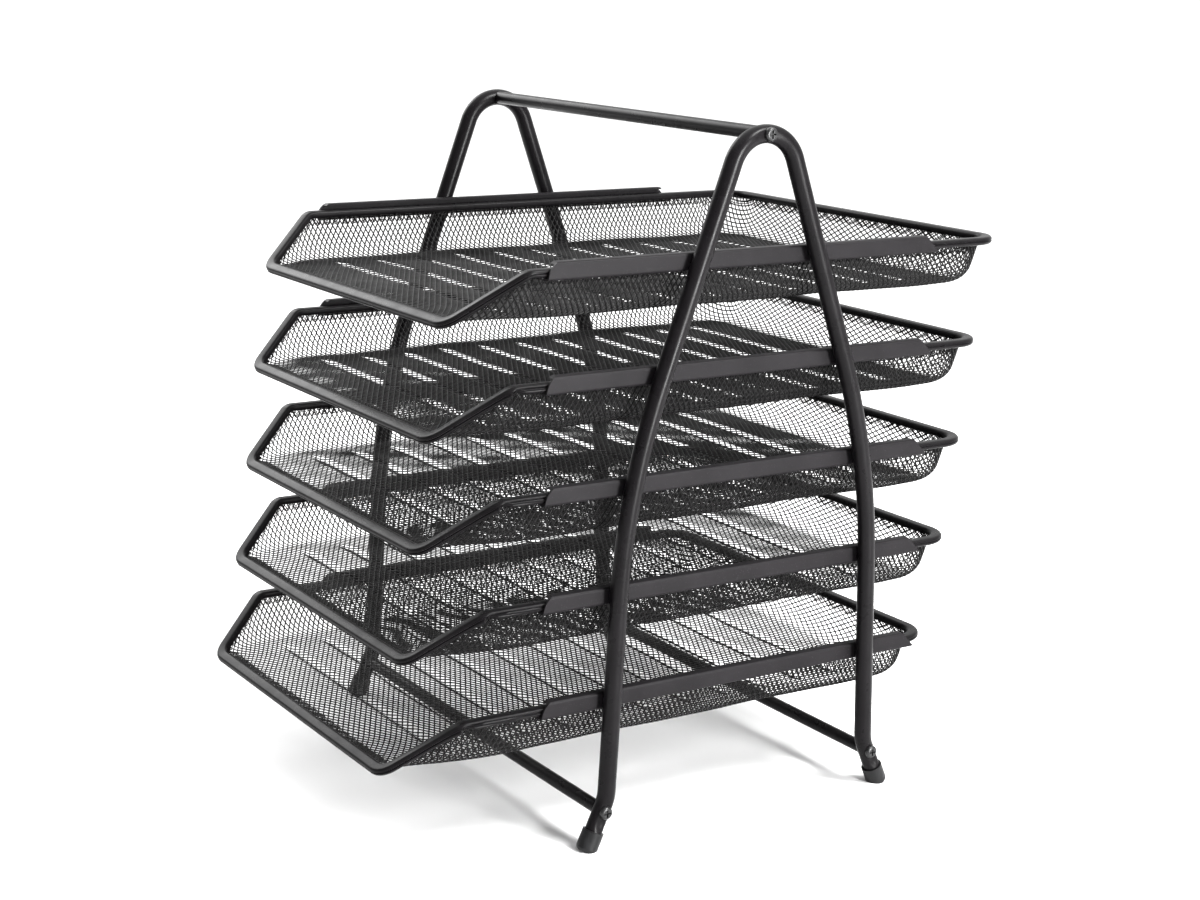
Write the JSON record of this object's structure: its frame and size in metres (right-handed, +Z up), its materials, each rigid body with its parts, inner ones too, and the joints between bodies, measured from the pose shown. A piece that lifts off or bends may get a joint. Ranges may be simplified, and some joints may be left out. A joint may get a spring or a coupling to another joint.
{
  "type": "desktop file sorter",
  "caption": "Desktop file sorter: wire-mesh letter trays that slide out on rails between bent-tube side frames joined by a carrying handle",
  "frame": {"origin": "on the floor, at the middle of the box that the object fills with its trays as they stand", "axes": "+Z up, +Y to the back, +X to the right as seen from the open front"},
  "size_m": [0.2978, 0.398, 0.39],
  "materials": {
    "tube_coat": "satin black powder coat on steel tube",
    "rail_coat": "satin black powder coat on folded sheet",
    "rim_coat": "satin black powder coat on rolled strip",
    "mesh_coat": "satin black powder coat on expanded metal",
    "foot_cap": "black soft plastic",
    "screw_black": "black oxide pan-head screw",
    "insert_steel": "bright zinc-plated steel"
  },
  "bodies": {
    "frame": {"side_frame_left": "tube_coat", "side_frame_right": "tube_coat", "handle_bar": "tube_coat", "cross_bar_front": "tube_coat", "cross_bar_rear": "tube_coat", "bar_end_inserts": "insert_steel", "handle_screws": "screw_black", "cross_bar_screws": "screw_black", "foot_front_left": "foot_cap", "foot_front_right": "foot_cap", "foot_rear_left": "foot_cap", "foot_rear_right": "foot_cap", "rail_1_left": "rail_coat", "rail_1_right": "rail_coat", "rail_2_left": "rail_coat", "rail_2_right": "rail_coat", "rail_3_left": "rail_coat", "rail_3_right": "rail_coat", "rail_4_left": "rail_coat", "rail_4_right": "rail_coat", "rail_5_left": "rail_coat", "rail_5_right": "rail_coat"},
    "tray_1": {"tray_rim_1": "rim_coat", "tray_mesh_1": "mesh_coat"},
    "tray_2": {"tray_rim_2": "rim_coat", "tray_mesh_2": "mesh_coat"},
    "tray_3": {"tray_rim_3": "rim_coat", "tray_mesh_3": "mesh_coat"},
    "tray_4": {"tray_rim_4": "rim_coat", "tray_mesh_4": "mesh_coat"},
    "tray_5": {"tray_rim_5": "rim_coat", "tray_mesh_5": "mesh_coat"}
  },
  "joints": [
    {"name": "tray_1_slide", "type": "slide", "parent": "frame", "child": "tray_1", "axis": [0, -1, 0], "range_m": [-0.0053, 0.2124]},
    {"name": "tray_2_slide", "type": "slide", "parent": "frame", "child": "tray_2", "axis": [0, -1, 0], "range_m": [-0.0143, 0.2034]},
    {"name": "tray_3_slide", "type": "slide", "parent": "frame", "child": "tray_3", "axis": [0, -1, 0], "range_m": [-0.0208, 0.1969]},
    {"name": "tray_4_slide", "type": "slide", "parent": "frame", "child": "tray_4", "axis": [0, -1, 0], "range_m": [-0.029, 0.1887]},
    {"name": "tray_5_slide", "type": "slide", "parent": "frame", "child": "tray_5", "axis": [0, -1, 0], "range_m": [-0.0427, 0.175]}
  ]
}
